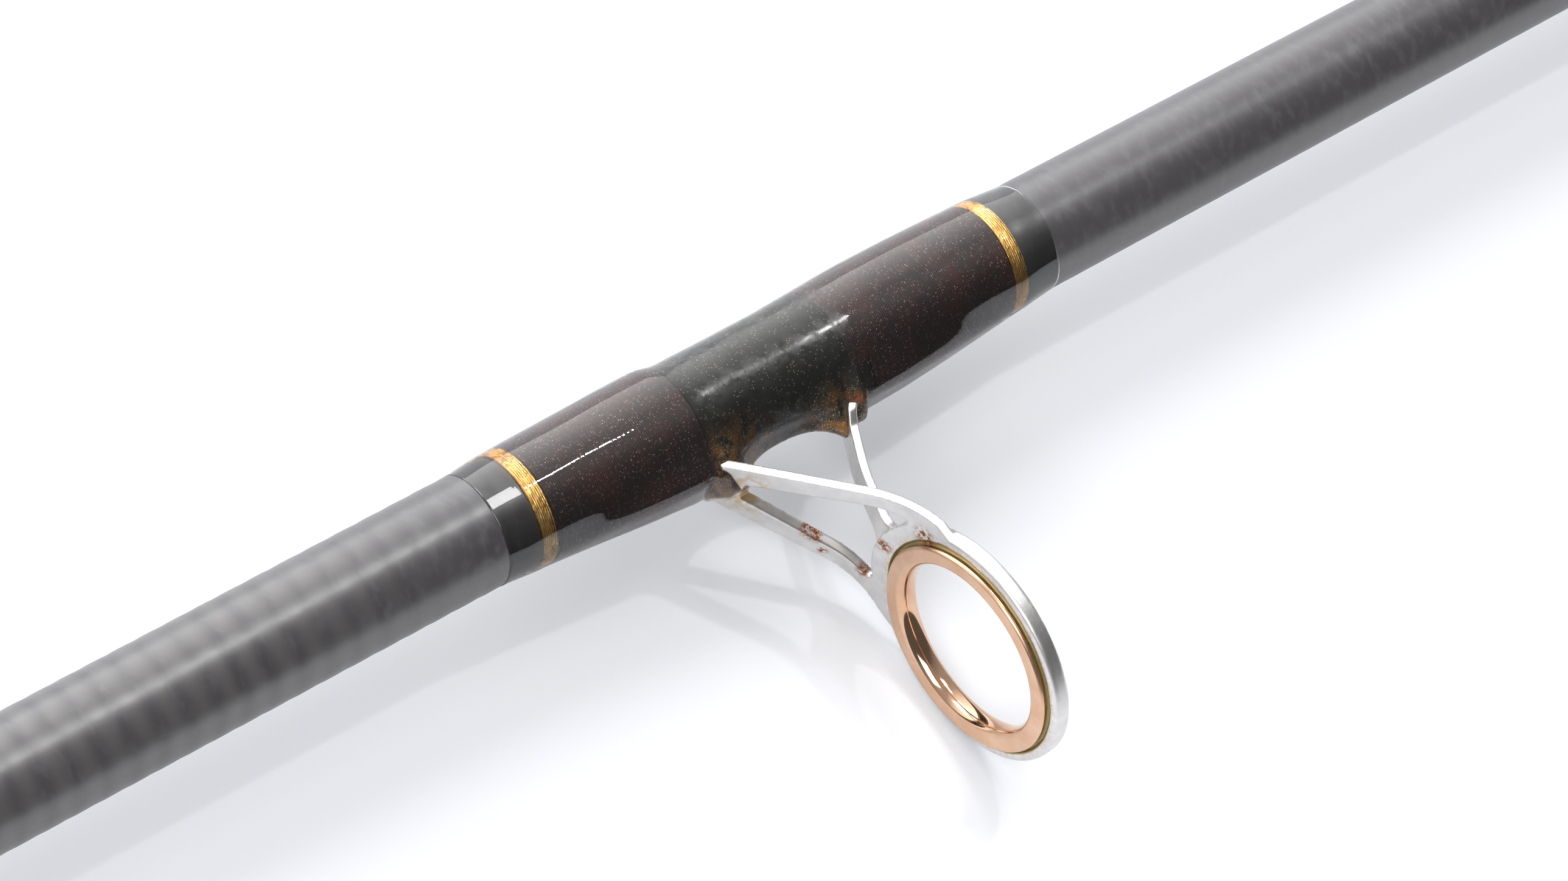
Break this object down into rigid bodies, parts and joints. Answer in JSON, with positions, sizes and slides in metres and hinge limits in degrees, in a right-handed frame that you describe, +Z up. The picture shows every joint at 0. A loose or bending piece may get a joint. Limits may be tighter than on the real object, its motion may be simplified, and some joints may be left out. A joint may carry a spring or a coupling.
{
  "type": "spinning rod",
  "caption": "Spinning rod with a spigot ferrule, screw-locked reel seat, foam grips and thread-bound ring guides on a tapered tubular blank.",
  "frame": {"origin": "centre of the butt cap's end face, on the blank's axis", "axes": "+X along the blank to the tip, -Y the side the line guides and the reel stand on, +Z up with the rod lying on its side"},
  "size_m": [2.4392, 0.0654, 0.0282],
  "materials": {
    "blank": "satin",
    "spigot": "ground",
    "rubber": "matt",
    "grip_foam": "foam",
    "anodised": "anodised",
    "arbor": "foamed",
    "seat_plastic": "moulded",
    "hood_steel": "satin",
    "pad": "moulded",
    "dark_thread": "varnished",
    "gold_thread": "metallic",
    "varnish": "clear gloss",
    "frame_steel": "satin",
    "ring_copper": "polished"
  },
  "bodies": {
    "butt_section": {"butt_blank": "blank", "butt_cap": "rubber", "butt_ferrule_trim": "gold_thread", "butt_ferrule_winding": "dark_thread", "butt_trim_ring": "anodised", "ferrule_spigot": "spigot", "fixed_hood": "hood_steel", "fixed_hood_pad": "pad", "foregrip": "grip_foam", "front_winding_check": "anodised", "handle_trim": "gold_thread", "handle_winding": "dark_thread", "hook_keeper": "frame_steel", "keeper_windings": "dark_thread", "middle_winding_check": "anodised", "rear_grip": "grip_foam", "rear_winding_check": "anodised", "reel_seat_tube": "seat_plastic", "seat_arbors": "arbor", "stripper_guide_butt_trim": "gold_thread", "stripper_guide_butt_winding": "dark_thread", "stripper_guide_epoxy": "varnish", "stripper_guide_frame": "frame_steel", "stripper_guide_ring": "ring_copper", "stripper_guide_tip_trim": "gold_thread", "stripper_guide_tip_winding": "dark_thread"},
    "tip_section": {"fifth_guide_epoxy": "varnish", "fifth_guide_frame": "frame_steel", "fifth_guide_ring": "ring_copper", "fifth_guide_winding": "dark_thread", "fourth_guide_epoxy": "varnish", "fourth_guide_frame": "frame_steel", "fourth_guide_ring": "ring_copper", "fourth_guide_winding": "dark_thread", "second_guide_epoxy": "varnish", "second_guide_frame": "frame_steel", "second_guide_ring": "ring_copper", "second_guide_trims": "gold_thread", "second_guide_windings": "dark_thread", "sixth_guide_epoxy": "varnish", "sixth_guide_frame": "frame_steel", "sixth_guide_ring": "ring_copper", "sixth_guide_winding": "dark_thread", "third_guide_epoxy": "varnish", "third_guide_frame": "frame_steel", "third_guide_ring": "ring_copper", "third_guide_trims": "gold_thread", "third_guide_windings": "dark_thread", "tip_blank": "blank", "tip_ferrule_trim": "gold_thread", "tip_ferrule_winding": "dark_thread", "tip_top_frame": "frame_steel", "tip_top_ring": "ring_copper", "tip_top_tube": "frame_steel", "tip_top_winding": "dark_thread"},
    "hood_slider": {"sliding_hood": "hood_steel", "sliding_hood_pad": "pad"},
    "nut": {"locking_nut": "anodised"}
  },
  "joints": [
    {"name": "ferrule_slide", "type": "slide", "parent": "butt_section", "child": "tip_section", "axis": [1, 0, 0], "range_m": [0, 0.066]},
    {"name": "hood_travel", "type": "slide", "parent": "butt_section", "child": "hood_slider", "axis": [1, 0, 0], "range_m": [-0.02, 0]},
    {"name": "nut_turn", "type": "hinge", "parent": "hood_slider", "child": "nut", "pos_m": [0.459, 0, 0], "axis": [1, 0, 0], "range_deg": [-3605, 0]}
  ],
  "couplings": [
    {"joint": "nut_turn", "follows": "hood_travel", "rad_per_m": 3141.6}
  ]
}
